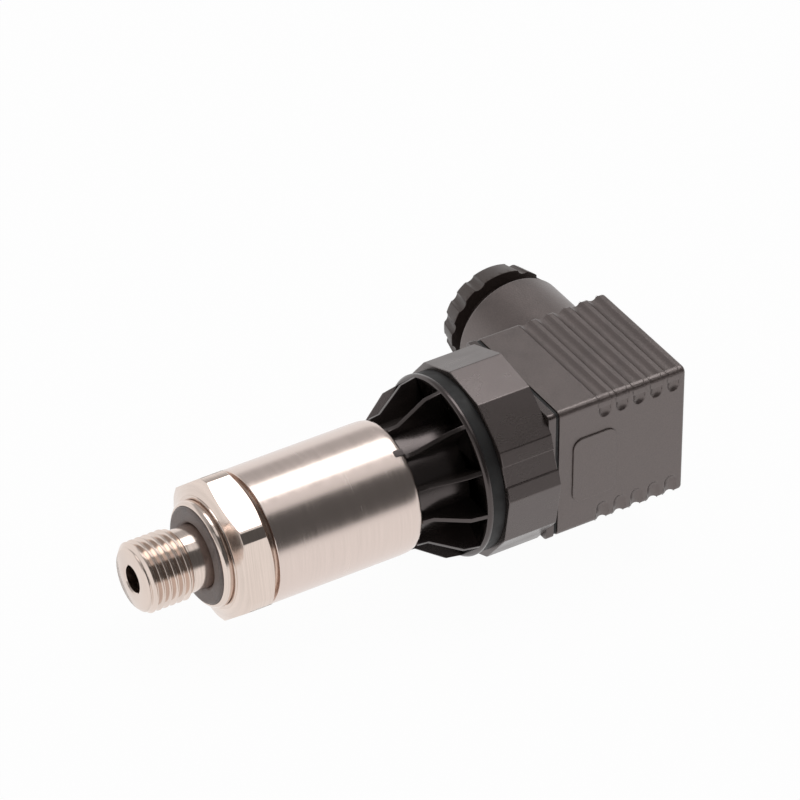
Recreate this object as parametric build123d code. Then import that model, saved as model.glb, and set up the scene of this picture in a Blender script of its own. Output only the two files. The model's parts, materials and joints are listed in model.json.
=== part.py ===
from build123d import *
import math
import os

# Pressure transmitter lying with its axis along X. The origin is on the axis, in the plane of
# the collar's sealing lip. The thread points to -X, the plug to +X, and the sleeve lies on one
# of its flats. Angles about the axis run from +Y towards +Z. All sizes are in millimetres.

# Process fitting: stud, collar and hexagon
thread_diameter = 13.157
thread_end_diameter = 10.9
thread_end_chamfer = 1.0
stud_length = 13.0
neck_diameter = 11.6
neck_length = 3.9
port_bore_diameter = 5.0
port_bore_depth = 15.0
pressure_passage_diameter = 2.4
seal_recess_diameter = 18.0
seal_recess_depth = 1.2
seal_bore_clearance = 0.05
seal_stand_out = 0.45
seal_inner_slope = 0.9
seal_outer_slope = 0.35
seal_slope_start = 0.1
lip_width = 0.3
collar_diameter = 19.6
collar_length = 1.4
collar_groove_depth = 0.3
collar_groove_width = 0.2
step_ring_diameter = 20.8
step_ring_length = 0.3
hex_chamfer_length = 1.1
hex_across_flats = 24.7
hex_corner_cut = 0.71
hex_length = 4.65
hex_back_chamfer_length = 1.45
hex_flat_angle = 99.8
undercut_diameter = 22.0
undercut_length = 0.3

# Steel tube
tube_diameter = 24.7
tube_wall = 0.85
tube_length = 29.0
tube_edge_radius = 0.35
tube_notch_width = 1.4
tube_notch_length = 1.9
tube_notch_angle = 108.0
spigot_length = 4.0
spigot_clearance = 0.02

# Measuring cell and what holds it
cell_diameter = 17.9
cell_thickness = 4.5
cell_gap = 0.2
cavity_clearance = 0.1
cell_seal_diameter = 14.0
cell_seal_section = 1.4
clamp_ring_thickness = 2.6
clamp_ring_bore = 12.0
clamp_slot_width = 1.6
clamp_slot_depth = 1.0
clamp_ring_recess = 0.2
cell_groove_share = 1.3

# Circuit board in the tube
board_thickness = 1.2
board_width = 20.6
board_length = 19.0
board_start = 15.5
board_slot_clearance = 0.05
board_seat_depth = 3.5
lead_diameter = 0.6
lead_pitch = 2.0
lead_overlap = 2.5
wire_diameter = 1.3
wire_pitch = 4.5
wire_overlap = 4.0
wire_bend_radius = 3.0
wire_board_run = 2.0
wire_tag_run = 1.0
chip_size = 5.0
chip_height = 1.6
regulator_share = 0.7
amplifier_place = 8.0
regulator_place = 6.0
regulator_side = 4.0
capacitor_diameter = 5.0
capacitor_height = 6.0
capacitor_place = 12.0
capacitor_side = -4.0

# Ribbed flange
flange_plug_length = 7.4
flange_plug_clearance = 0.03
flange_plug_bore = 18.6
tube_seal_section = 1.4
tube_seal_offset = 5.4
oring_groove_half_share = 0.6
rib_foot_depth = 0.5
rib_overlap = 0.1
pocket_floor_diameter = 21.4
flange_bore = 17.2
flange_rib_count = 12
flange_rib_thickness = 0.85
flange_rib_angle = 22.8
flange_length = 11.6
rib_step_length = 2.1
rib_kink_offset = 7.5
rib_kink_drop = 0.9
rim_reach = 3.95
rim_thickness = 1.0
rim_edge_radius = 0.4
boss_wall = 1.8
boss_tail_clearance = 0.1
boss_length = 10.0

# Seal ring and twelve-sided sleeve
flange_seal_thickness = 2.6
flange_seal_inset = 0.2
flange_seal_clearance = 0.05
sleeve_sides = 12
sleeve_reach = 5.1
sleeve_length = 10.7
sleeve_end_wall = 2.0
sleeve_boss_clearance = 0.1
tail_opening_margin = 4.84
sleeve_strip_width = 3.75
sleeve_strip_depth = 0.3
sleeve_strip_angle = 150.0

# Connector base
plug_turn = -8.7
plug_width = 27.04
base_flange_thickness = 1.6
base_corner_radius = 0.9
base_tail_clearance = 0.1
base_tail_length = 6.0
base_seal_section = 1.0
base_seal_offset = 1.0
island_margin = 6.04
island_height = 2.0
contact_inset = 2.72
blade_width = 6.3
blade_thickness = 0.8
blade_reach = 8.0
solder_tag_width = 2.0
solder_tag_length = 2.5
insert_nut_diameter = 5.2
insert_nut_length = 4.9
insert_nut_shelf = 0.6
insert_hollow_margin = 0.8

# Gasket between base and plug
gasket_thickness = 0.7
gasket_inset = 0.25
gasket_island_clearance = 0.1

# Plug cover
cover_length = 26.5
cover_wall = 1.8
cover_end_wall = 2.0
cover_edge_radius = 1.2
cover_end_radius = 0.6
grip_count = 5
grip_pitch = 3.6
grip_first = 9.5
grip_radius = 1.7
grip_depth = 0.6
grip_reach = 4.6
badge_width = 9.1
badge_height = 13.7
badge_height_above_face = 0.3
badge_corner_radius = 2.0
badge_edge_radius = 0.2
badge_offset = 7.45
badge_lift = -0.35

# Cable gland on the plug
gland_offset = 16.35
neck_margin = 2.42
neck_wall = 2.95
neck_reach = 14.2
neck_edge_radius = 0.5
gland_floor = 3.0
cable_hole_diameter = 10.4
gland_running_clearance = 0.05
gland_head_step = 0.4
gland_head_taper = 1.0
gland_head_length = 4.4
gland_head_edge = 0.5
gland_head_gap = 3.1
gland_engagement = 5.0
gland_screw_bore = 10.0
gland_flute_count = 14
gland_flute_radius = 1.5
gland_flute_depth = 0.55
gland_flute_angle = 89.0
gland_washer_thickness = 1.0
grommet_length = 4.5
grommet_bore = 6.0

# Terminal insert in the plug
insert_clearance = 0.1
insert_front_gap = 0.2
insert_length = 12.0
insert_corner_radius = 1.0
slot_clearance = 0.05
socket_width = 7.6
socket_depth = 3.6
socket_length = 10.0
socket_front_skin = 0.8
socket_slot_length = 8.4
terminal_screw_diameter = 2.6
terminal_head_diameter = 3.6
terminal_head_height = 1.6
terminal_screw_grip = 1.4
driver_slot_width = 0.7
driver_slot_depth = 0.8

# Central fixing screw
fixing_screw_diameter = 2.9
fixing_thread_clearance = 0.05
fixing_hole_clearance = 0.25
fixing_head_diameter = 5.6
fixing_head_height = 2.0
fixing_recess_diameter = 8.0
fixing_recess_depth = 3.0
fixing_boss_diameter = 11.0
fixing_boss_length = 3.0
fixing_engagement = 4.5
fixing_tip_chamfer = 0.3
screw_washer_thickness = 0.6
screw_washer_diameter = 7.0

# Places along the axis, each from the piece before it
step_start = collar_length + collar_groove_width
hex_chamfer_start = step_start + step_ring_length
hex_start = hex_chamfer_start + hex_chamfer_length
hex_end = hex_start + hex_length
hex_corner_diameter = hex_across_flats / math.cos(math.radians(30)) - 2 * hex_corner_cut
tube_start = hex_end + hex_back_chamfer_length + undercut_length
tube_end = tube_start + tube_length
spigot_end = tube_start + spigot_length
clamp_end = spigot_end - clamp_ring_recess
cell_end = clamp_end - clamp_ring_thickness
cell_start = cell_end - cell_thickness
cavity_floor = cell_start - cell_gap
board_end = board_start + board_length
flange_plug_start = tube_end - flange_plug_length
rim_end = tube_end + flange_length
rim_start = rim_end - rim_thickness
boss_end = rim_end + boss_length
sleeve_start = rim_end + flange_seal_thickness
sleeve_end = sleeve_start + sleeve_length
base_front = sleeve_end + base_flange_thickness
island_front = base_front + island_height
cover_start = base_front + gasket_thickness
cover_end = cover_start + cover_length
insert_start = island_front + insert_front_gap
insert_end = insert_start + insert_length
gland_x = cover_start + gland_offset

# Places across the plug, and the round pieces that its contacts pass through
blade_slot_thickness = blade_thickness + 2 * slot_clearance
blade_slot_width = blade_width + 2 * slot_clearance
half_width = plug_width / 2
half_cavity = half_width - cover_wall
contact_offset = half_cavity - contact_inset
island_width = plug_width - island_margin
sleeve_tail_opening = plug_width - tail_opening_margin
boss_bore = sleeve_tail_opening + 2 * boss_tail_clearance
boss_diameter = boss_bore + 2 * boss_wall
rim_diameter = boss_diameter + 2 * rim_reach
sleeve_corner_diameter = boss_diameter + 2 * sleeve_reach

# The lie on a level table: on the hexagon's lowest corner and the front edge of the sleeve's lowest facet
half_flat = math.degrees(math.acos(hex_across_flats / hex_corner_diameter))
corner_depth = hex_corner_diameter / 2 * math.cos(math.radians(hex_flat_angle - 90 - half_flat))
facet_depth = sleeve_corner_diameter / 2 * math.cos(math.pi / sleeve_sides)
lie_pitch = math.degrees(math.atan2(facet_depth - corner_depth, sleeve_start - hex_start))
lie = Rot(0, -lie_pitch, 0)
flange_seal_diameter = rim_diameter - 2 * flange_seal_inset
rib_kink_diameter = rim_diameter - 2 * rib_kink_drop
neck_outer_diameter = plug_width - 2 * neck_margin
gland_bore_diameter = neck_outer_diameter - 2 * neck_wall
gland_head_near_diameter = neck_outer_diameter - 2 * gland_head_step
gland_head_far_diameter = gland_head_near_diameter - 2 * gland_head_taper
gland_floor_y = half_cavity + gland_floor
neck_end = half_width + neck_reach
gland_tip = neck_end - gland_engagement
gland_head_start = neck_end + gland_head_gap
gland_head_end = gland_head_start + gland_head_length
gland_slide_diameter = gland_bore_diameter - 2 * gland_running_clearance


def turned(*points):
    """A solid turned about the X axis from points of (x, radius)."""
    return revolve(make_face(Polyline(*points, close=True)), Axis.X)


def ring(start, end, outer, inner=0.0):
    """A plain ring or disc about the X axis, by its diameters."""
    body = Pos((start + end) / 2, 0, 0) * Rot(0, 90, 0) * Cylinder(outer / 2, end - start)
    if inner:
        body -= Pos((start + end) / 2, 0, 0) * Rot(0, 90, 0) * Cylinder(inner / 2, end - start + 1)
    return body


def slab(start, end, width_y, width_z, corner=0.0):
    """A rectangular block about the X axis, its four long edges rounded."""
    body = Pos((start + end) / 2, 0, 0) * Box(end - start, width_y, width_z)
    if corner:
        body = fillet(body.edges().filter_by(Axis.X), corner)
    return body


def about_gland(start, end, outer, inner=0.0, outer_end=None):
    """A ring or cone about the gland's axis, which runs along +Y at gland_x."""
    length = end - start
    radius_end = (outer if outer_end is None else outer_end) / 2
    place = Pos(gland_x, start, 0) * Rot(-90, 0, 0)
    profile = Polyline((0, 0), (outer / 2, 0), (radius_end, length), (0, length), close=True)
    body = revolve(make_face(Plane.XZ * profile), Axis.Z)
    if inner:
        body -= Pos(0, 0, length / 2) * Cylinder(inner / 2, length + 1)
    return place * body


def around(shape, count, first=0.0):
    """Copies of a shape spread evenly about the X axis."""
    return [Rot(first + 360 / count * k, 0, 0) * shape for k in range(count)]


def oring(x, diameter, section):
    """An O-ring about the X axis, by its mean diameter and section."""
    return Pos(x, 0, 0) * Rot(0, 90, 0) * Torus(diameter / 2, section / 2)


def fitted(shape):
    """A piece of the plug, modelled square, turned to the angle at which the plug sits."""
    return Rot(plug_turn, 0, 0) * shape


def make_process_fitting():
    half_tube = tube_diameter / 2
    body = turned(
        (-stud_length, port_bore_diameter / 2),
        (-stud_length, thread_end_diameter / 2),
        (-stud_length + thread_end_chamfer, thread_diameter / 2),
        (-neck_length - (thread_diameter - neck_diameter) / 2, thread_diameter / 2),
        (-neck_length, neck_diameter / 2),
        (seal_recess_depth, neck_diameter / 2),
        (seal_recess_depth, seal_recess_diameter / 2),
        (0, seal_recess_diameter / 2),
        (0, seal_recess_diameter / 2 + lip_width),
        (collar_diameter / 2 - seal_recess_diameter / 2 - lip_width, collar_diameter / 2),
        (collar_length, collar_diameter / 2),
        (collar_length, collar_diameter / 2 - collar_groove_depth),
        (step_start, collar_diameter / 2 - collar_groove_depth),
        (step_start, step_ring_diameter / 2),
        (hex_chamfer_start, step_ring_diameter / 2),
        (hex_start, hex_corner_diameter / 2),
        (hex_end, hex_corner_diameter / 2),
        (hex_end + hex_back_chamfer_length, undercut_diameter / 2),
        (tube_start, undercut_diameter / 2),
        (tube_start, half_tube - tube_wall - spigot_clearance),
        (spigot_end, half_tube - tube_wall - spigot_clearance),
        (spigot_end, cell_diameter / 2 + cavity_clearance),
        (cavity_floor, cell_diameter / 2 + cavity_clearance),
        (cavity_floor, pressure_passage_diameter / 2),
        (port_bore_depth - stud_length, pressure_passage_diameter / 2),
        (port_bore_depth - stud_length, port_bore_diameter / 2),
    )
    flat_depth = hex_corner_diameter - hex_across_flats
    flat = Pos(tube_start / 2, (hex_across_flats + flat_depth) / 2, 0)
    flat *= Box(tube_start, flat_depth, hex_corner_diameter)
    for copy in around(flat, 6, hex_flat_angle):
        body -= copy
    groove = ring(
        cell_start - cell_seal_section,
        cavity_floor + cell_gap,
        cell_seal_diameter + cell_seal_section * cell_groove_share,
        cell_seal_diameter - cell_seal_section * cell_groove_share,
    )
    return body - groove


def make_port_seal():
    inner = neck_diameter / 2 + seal_bore_clearance
    outer = seal_recess_diameter / 2
    return turned(
        (seal_recess_depth, inner),
        (seal_slope_start, inner),
        (-seal_stand_out, inner + seal_inner_slope),
        (-seal_stand_out, outer - seal_outer_slope),
        (-seal_slope_start, outer),
        (seal_recess_depth, outer),
    )


def make_body_tube():
    body = ring(tube_start, tube_end, tube_diameter, tube_diameter - 2 * tube_wall)
    body = fillet(body.edges().group_by(Axis.X)[-1].sort_by(SortBy.RADIUS)[-1:], tube_edge_radius)
    notch = Pos(tube_end, tube_diameter / 2, 0)
    notch *= Box(2 * tube_notch_length, tube_diameter / 4, tube_notch_width)
    return body - Rot(tube_notch_angle, 0, 0) * notch


def make_clamp_ring():
    body = ring(cell_end, clamp_end, cell_diameter + cavity_clearance, clamp_ring_bore)
    slots = Pos(clamp_end, 0, 0) * Box(2 * clamp_slot_depth, 2 * cell_diameter, clamp_slot_width)
    return body - slots


def make_sensor_leads():
    length = board_start + lead_overlap - cell_end
    lead = Pos(cell_end + length / 2, board_thickness / 2 + lead_diameter / 2, 0)
    lead *= Rot(0, 90, 0) * Cylinder(lead_diameter / 2, length)
    return [Pos(0, 0, (k - 1.5) * lead_pitch) * lead for k in range(4)]


def make_board_chips():
    top = board_thickness / 2 + chip_height / 2
    amplifier = Pos(board_start + amplifier_place, top, 0) * Box(chip_size, chip_height, chip_size)
    regulator = Pos(board_start + regulator_place, -top, regulator_side)
    regulator *= Box(chip_size, chip_height, chip_size * regulator_share)
    return [amplifier, regulator]


def make_board_capacitor():
    middle = -(board_thickness + capacitor_height) / 2
    can = Rot(90, 0, 0) * Cylinder(capacitor_diameter / 2, capacitor_height)
    return Pos(board_start + capacitor_place, middle, capacitor_side) * can


def contact_angles():
    """Angles of the three contacts and, last, of the earth contact."""
    return [plug_turn + 90, plug_turn + 270, plug_turn + 180, plug_turn]


def make_output_wires():
    wires = []
    tag_x = sleeve_end - base_tail_length - solder_tag_length
    side = board_thickness / 2 + wire_diameter / 2
    for k, angle in zip((1, -1, 0), contact_angles()):
        radius = contact_offset - blade_thickness / 2 - wire_diameter / 2
        y = radius * math.cos(math.radians(angle))
        z = radius * math.sin(math.radians(angle))
        route = [
            (board_end - wire_overlap, side, k * wire_pitch),
            (board_end + wire_board_run, side, k * wire_pitch),
            (tag_x - wire_tag_run, y, z),
            (tag_x + solder_tag_length, y, z),
        ]
        path = FilletPolyline(*route, radius=wire_bend_radius)
        start = Plane(origin=route[0], z_dir=(1, 0, 0))
        wires.append(sweep(start * Circle(wire_diameter / 2), path))
    return wires


def make_ribbed_flange():
    plug_radius = tube_diameter / 2 - tube_wall - flange_plug_clearance
    floor = pocket_floor_diameter / 2
    body = turned(
        (flange_plug_start, flange_plug_bore / 2),
        (flange_plug_start, plug_radius),
        (tube_end, plug_radius),
        (tube_end, floor),
        (rim_start, floor),
        (rim_start, rim_diameter / 2 - rim_edge_radius),
        (rim_start + rim_edge_radius, rim_diameter / 2),
        (rim_end, rim_diameter / 2),
        (rim_end, boss_diameter / 2),
        (boss_end, boss_diameter / 2),
        (boss_end, boss_bore / 2),
        (rim_end, boss_bore / 2),
        (rim_end, flange_bore / 2),
        (tube_end, flange_bore / 2),
        (tube_end, flange_plug_bore / 2),
    )
    tube_radius = tube_diameter / 2
    outline = Polyline(
        (tube_end, floor - rib_foot_depth),
        (tube_end, tube_radius - rib_overlap),
        (tube_end + rib_step_length, tube_radius + rib_overlap),
        (tube_end + rib_kink_offset, rib_kink_diameter / 2),
        (rim_start + rib_overlap, rim_diameter / 2 - rim_edge_radius),
        (rim_start + rib_overlap, floor - rib_foot_depth),
        close=True,
    )
    rib = extrude(make_face(outline), flange_rib_thickness / 2, both=True)
    for copy in around(rib, flange_rib_count, flange_rib_angle):
        body += copy
    key = Pos(tube_end - tube_notch_length / 2, tube_radius - tube_wall / 2, 0)
    key *= Box(tube_notch_length, tube_wall, tube_notch_width - 2 * flange_plug_clearance)
    body += Rot(tube_notch_angle, 0, 0) * key
    groove_half = tube_seal_section * oring_groove_half_share
    body -= ring(
        flange_plug_start + tube_seal_offset - groove_half,
        flange_plug_start + tube_seal_offset + groove_half,
        2 * plug_radius + 1,
        2 * (plug_radius + flange_plug_clearance - tube_seal_section),
    )
    slot_width = board_thickness + 2 * board_slot_clearance
    slot_end = flange_plug_start + board_seat_depth
    slot = Pos(slot_end - flange_plug_length / 2, 0, 0)
    slot *= Box(flange_plug_length, slot_width, board_width + 2 * board_slot_clearance)
    return body - slot


def make_faceted_sleeve():
    corner_radius = sleeve_corner_diameter / 2
    outline = Plane.YZ * RegularPolygon(corner_radius, sleeve_sides, rotation=180 / sleeve_sides)
    body = Pos(sleeve_start, 0, 0) * extrude(outline, sleeve_length)
    bore = boss_diameter + 2 * sleeve_boss_clearance
    body -= ring(sleeve_start - 1, sleeve_end - sleeve_end_wall, bore)
    body -= ring(sleeve_start, sleeve_end + 1, sleeve_tail_opening)
    strip = Pos((sleeve_start + sleeve_end) / 2, facet_depth, 0)
    strip *= Box(sleeve_length + 2, 2 * sleeve_strip_depth, sleeve_strip_width)
    return body - Rot(sleeve_strip_angle, 0, 0) * strip


def make_connector_base():
    tail = sleeve_tail_opening - 2 * base_tail_clearance
    tail_start = sleeve_end - base_tail_length
    body = slab(sleeve_end, base_front, plug_width, plug_width, base_corner_radius)
    body += ring(tail_start, sleeve_end, tail)
    body += slab(base_front, island_front, island_width, island_width, base_corner_radius)
    seal_x = sleeve_end - base_seal_offset
    groove_floor = sleeve_tail_opening - 2 * base_seal_section
    groove_half = base_seal_section * oring_groove_half_share
    body -= ring(seal_x - groove_half, seal_x + groove_half, tail + 2, groove_floor)
    slot = Pos((tail_start + island_front) / 2, contact_offset, 0)
    slot *= Box(island_front - tail_start + 2, blade_thickness, blade_width)
    for copy in around(slot, 4):
        body -= copy
    body -= ring(island_front - insert_nut_length, island_front + 1, insert_nut_diameter)
    hollow_end = island_front - insert_nut_length - insert_nut_shelf
    hollow = ring(tail_start - 1, hollow_end, insert_nut_diameter - insert_hollow_margin)
    return fitted(body - hollow)


def make_blade():
    """One flat pin on the +Y side, with its narrower solder tag."""
    tail_start = sleeve_end - base_tail_length
    front = island_front + blade_reach
    blade = Pos((tail_start + front) / 2, contact_offset, 0)
    blade *= Box(front - tail_start, blade_thickness, blade_width)
    tip = blade.edges().filter_by(Axis.Y).group_by(Axis.X)[-1]
    blade = chamfer(tip, blade_width / 8)
    tag = Pos(tail_start - solder_tag_length / 2, contact_offset, 0)
    tag *= Box(solder_tag_length, blade_thickness, solder_tag_width)
    return blade + tag


def make_plug_gasket():
    width = plug_width - 2 * gasket_inset
    body = slab(base_front, cover_start, width, width, base_corner_radius)
    opening = island_width + 2 * gasket_island_clearance
    return fitted(body - slab(base_front - 1, cover_start + 1, opening, opening))


def grip_cutter():
    """A flute across the plug's upper face that runs down both side faces."""
    centre = half_width + grip_radius - grip_depth
    across = Pos(0, 0, centre) * Rot(90, 0, 0) * Cylinder(grip_radius, plug_width + 4)
    foot = half_width - grip_reach + grip_radius
    cutter = across
    for side in (-1, 1):
        leg = Pos(0, side * centre, (foot + centre) / 2) * Cylinder(grip_radius, centre - foot)
        cutter += leg + Pos(0, side * centre, foot) * Sphere(grip_radius)
        cutter += Pos(0, side * centre, centre) * Sphere(grip_radius)
    return cutter


def make_badge():
    outline = RectangleRounded(badge_width, badge_height, badge_corner_radius)
    plate = extrude(outline, 2 * badge_height_above_face)
    plate = fillet(plate.edges().group_by(Axis.Z)[-1], badge_edge_radius)
    place = Pos(cover_start + badge_offset, -half_width + badge_height_above_face, badge_lift)
    return place * Rot(90, 0, 0) * plate


def make_plug_cover():
    body = slab(cover_start, cover_end, plug_width, plug_width, cover_edge_radius)
    body = fillet(body.edges().group_by(Axis.X)[-1], cover_end_radius)
    for k in range(grip_count):
        flute = Pos(cover_start + grip_first + k * grip_pitch, 0, 0) * grip_cutter()
        body -= flute
        body -= Rot(180, 0, 0) * flute
    neck = about_gland(half_cavity + 1, neck_end, neck_outer_diameter)
    body += fillet(neck.edges().group_by(Axis.Y)[-1], neck_edge_radius)
    body += make_badge()
    cavity_end = cover_end - cover_end_wall
    body -= slab(cover_start - 1, cavity_end, 2 * half_cavity, 2 * half_cavity, insert_corner_radius)
    body += ring(cavity_end - fixing_boss_length, cavity_end + 0.5, fixing_boss_diameter)
    body -= ring(cover_end - fixing_recess_depth, cover_end + 1, fixing_recess_diameter)
    body -= ring(cover_start, cover_end, fixing_screw_diameter + 2 * fixing_hole_clearance)
    body -= about_gland(gland_floor_y, neck_end + 1, gland_bore_diameter)
    body -= about_gland(half_cavity - 1, gland_floor_y + 1, cable_hole_diameter)
    return fitted(body)


def make_terminal_insert():
    width = 2 * (half_cavity - insert_clearance)
    body = slab(insert_start, insert_end, width, width, insert_corner_radius)
    body -= ring(insert_start - 1, insert_end + 1, fixing_screw_diameter + 2 * fixing_hole_clearance)
    pocket = Pos((insert_start + socket_front_skin + insert_end + 1) / 2, contact_offset, 0)
    pocket *= Box(insert_end + 1 - insert_start - socket_front_skin, socket_depth, socket_width)
    mouth = Pos(insert_start, contact_offset, 0)
    mouth *= Box(4 * socket_front_skin, blade_slot_thickness, blade_slot_width)
    for copy in around(pocket, 4) + around(mouth, 4):
        body -= copy
    return fitted(body)


def make_socket():
    """One brass terminal on the +Y side, slotted for its blade and drilled for its screw."""
    start = insert_start + socket_front_skin
    body = Pos(start + socket_length / 2, contact_offset, 0)
    body *= Box(socket_length, socket_depth, socket_width)
    slot = Pos(start + socket_slot_length / 2 - 1, contact_offset, 0)
    slot *= Box(socket_slot_length + 2, blade_slot_thickness, blade_slot_width)
    hole = Pos(start + socket_length, contact_offset, 0) * Rot(0, 90, 0)
    hole *= Cylinder(terminal_screw_diameter / 2, 2 * terminal_screw_grip)
    return body - slot - hole


def make_terminal_screw():
    start = insert_start + socket_front_skin + socket_length
    shank = Pos(start - terminal_screw_grip / 2, contact_offset, 0) * Rot(0, 90, 0)
    shank *= Cylinder(terminal_screw_diameter / 2, terminal_screw_grip)
    head = Pos(start + terminal_head_height / 2, contact_offset, 0) * Rot(0, 90, 0)
    head *= Cylinder(terminal_head_diameter / 2, terminal_head_height)
    slot = Pos(start + terminal_head_height, contact_offset, 0)
    slot *= Box(2 * driver_slot_depth, driver_slot_width, 2 * terminal_head_diameter)
    return shank + head - slot


def make_fixing_screw():
    seat = cover_end - fixing_recess_depth + screw_washer_thickness
    tip = island_front - fixing_engagement
    body = turned(
        (tip, 0),
        (tip, fixing_screw_diameter / 2 - fixing_tip_chamfer),
        (tip + fixing_tip_chamfer, fixing_screw_diameter / 2),
        (seat, fixing_screw_diameter / 2),
        (seat, fixing_head_diameter / 2),
        (seat + fixing_head_height, fixing_head_diameter / 2),
        (seat + fixing_head_height, 0),
    )
    slot = Pos(seat + fixing_head_height, 0, 0)
    slot *= Box(2 * driver_slot_depth, driver_slot_width, 2 * fixing_head_diameter)
    return fitted(body - slot)


def make_gland_screw():
    near_radius = gland_head_near_diameter / 2
    far_radius = gland_head_far_diameter / 2
    head = about_gland(gland_head_start, gland_head_end, 2 * near_radius, 0, 2 * far_radius)
    head = fillet(head.edges().group_by(Axis.Y)[-1], gland_head_edge)
    drop = math.degrees(math.atan2(near_radius - far_radius, gland_head_length))
    centre = (near_radius + far_radius) / 2 + gland_flute_radius - gland_flute_depth
    flute = Pos(centre, 0, 0) * Rot(0, -drop, 0) * Cylinder(gland_flute_radius, 2 * gland_head_length)
    middle = Pos(gland_x, (gland_head_start + gland_head_end) / 2, 0) * Rot(-90, 0, 0)
    for k in range(gland_flute_count):
        head -= middle * Rot(0, 0, gland_flute_angle + 360 / gland_flute_count * k) * flute
    shank = about_gland(gland_tip, gland_head_start + 1, gland_slide_diameter)
    bore = about_gland(gland_tip - 1, gland_head_end + 1, gland_screw_bore)
    return fitted(head + shank - bore)


def save(node, shape):
    """Write one node as it lies; a list of solids becomes a group in one file."""
    if isinstance(shape, list):
        shape = Compound(children=[lie * piece.solid() for piece in shape])
    elif len(shape.solids()) == 1:
        shape = lie * shape.solid()
    else:
        shape = lie * shape
    shape.label = node
    export_step(shape, f"parts/{node}.step")


os.makedirs("parts", exist_ok=True)

# Steel end
save("process_fitting", make_process_fitting())
save("port_seal", make_port_seal())
save("sensor_cell", ring(cell_start, cell_end, cell_diameter))
save("cell_oring", oring(cell_start - cell_seal_section / 2, cell_seal_diameter, cell_seal_section))
save("clamp_ring", make_clamp_ring())
save("body_tube", make_body_tube())

# Electronics
board_middle = (board_start + board_end) / 2
save("circuit_board", Pos(board_middle, 0, 0) * Box(board_length, board_thickness, board_width))
save("board_chips", make_board_chips())
save("board_capacitor", make_board_capacitor())
save("sensor_leads", make_sensor_leads())
save("output_wires", make_output_wires())

# Plastic end
save("ribbed_flange", make_ribbed_flange())
tube_seal_diameter = tube_diameter - 2 * tube_wall - tube_seal_section
save("tube_oring", oring(flange_plug_start + tube_seal_offset, tube_seal_diameter, tube_seal_section))
flange_seal_bore = boss_diameter + 2 * flange_seal_clearance
save("flange_seal", ring(rim_end, sleeve_start, flange_seal_diameter, flange_seal_bore))
save("faceted_sleeve", make_faceted_sleeve())
save("connector_base", make_connector_base())
base_seal_diameter = sleeve_tail_opening - base_seal_section
save("base_oring", oring(sleeve_end - base_seal_offset, base_seal_diameter, base_seal_section))
save("contact_blades", [fitted(piece) for piece in around(make_blade(), 4)[1:]])
save("earth_blade", fitted(make_blade()))
nut_bore = fixing_screw_diameter + 2 * fixing_thread_clearance
save("base_insert", ring(island_front - insert_nut_length, island_front, insert_nut_diameter, nut_bore))
save("plug_gasket", make_plug_gasket())

# Plug
save("plug_cover", make_plug_cover())
save("terminal_insert", make_terminal_insert())
save("contact_sockets", [fitted(piece) for piece in around(make_socket(), 4)[1:]])
save("earth_socket", fitted(make_socket()))
save("terminal_screws", [fitted(piece) for piece in around(make_terminal_screw(), 4)])
washer_start = cover_end - fixing_recess_depth
washer_bore = fixing_screw_diameter + 2 * fixing_thread_clearance
washer_end = washer_start + screw_washer_thickness
save("screw_washer", ring(washer_start, washer_end, screw_washer_diameter, washer_bore))
save("fixing_screw", make_fixing_screw())

# Cable gland
save("gland_screw", make_gland_screw())
washer_tip = gland_tip - gland_washer_thickness
gland_washer = about_gland(washer_tip, gland_tip, gland_slide_diameter, gland_screw_bore)
save("gland_washer", fitted(gland_washer))
grommet = about_gland(gland_floor_y, gland_floor_y + grommet_length, gland_slide_diameter, grommet_bore)
save("gland_grommet", fitted(grommet))
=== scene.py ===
import json
import math

import bpy
from mathutils import Euler, Matrix, Vector

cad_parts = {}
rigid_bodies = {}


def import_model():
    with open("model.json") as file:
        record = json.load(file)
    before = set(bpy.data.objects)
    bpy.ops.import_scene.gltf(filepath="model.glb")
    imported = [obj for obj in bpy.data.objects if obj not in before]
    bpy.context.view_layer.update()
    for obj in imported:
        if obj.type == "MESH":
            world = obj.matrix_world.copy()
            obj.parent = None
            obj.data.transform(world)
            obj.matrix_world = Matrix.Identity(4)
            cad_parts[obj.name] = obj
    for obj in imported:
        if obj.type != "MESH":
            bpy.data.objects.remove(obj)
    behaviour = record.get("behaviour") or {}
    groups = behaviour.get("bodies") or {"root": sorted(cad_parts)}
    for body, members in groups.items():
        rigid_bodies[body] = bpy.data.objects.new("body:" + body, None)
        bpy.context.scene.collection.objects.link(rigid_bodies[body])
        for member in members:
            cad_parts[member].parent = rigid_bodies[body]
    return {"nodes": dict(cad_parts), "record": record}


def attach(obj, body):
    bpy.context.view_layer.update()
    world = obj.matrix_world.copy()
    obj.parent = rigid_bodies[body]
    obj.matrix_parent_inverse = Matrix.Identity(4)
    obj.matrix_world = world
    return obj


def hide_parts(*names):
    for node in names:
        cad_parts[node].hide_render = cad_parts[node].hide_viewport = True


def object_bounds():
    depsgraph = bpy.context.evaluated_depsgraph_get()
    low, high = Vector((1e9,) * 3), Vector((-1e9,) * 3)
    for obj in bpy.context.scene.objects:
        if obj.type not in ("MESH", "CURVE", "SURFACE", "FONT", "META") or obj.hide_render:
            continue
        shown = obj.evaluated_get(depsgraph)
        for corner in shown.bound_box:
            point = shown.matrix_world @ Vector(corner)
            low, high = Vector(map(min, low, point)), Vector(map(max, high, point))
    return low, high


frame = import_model()
cad_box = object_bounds()

bl_info = {
    "name": "Pressure transmitter",
    "version": (1, 0, 0),
    "blender": (4, 5, 0),
    "location": "View3D > Sidebar > Transmitter",
    "description": "Finishes a pressure transmitter with a threaded stud, a ribbed flange and an angle plug",
    "category": "Object",
}

mm = 0.001

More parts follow.
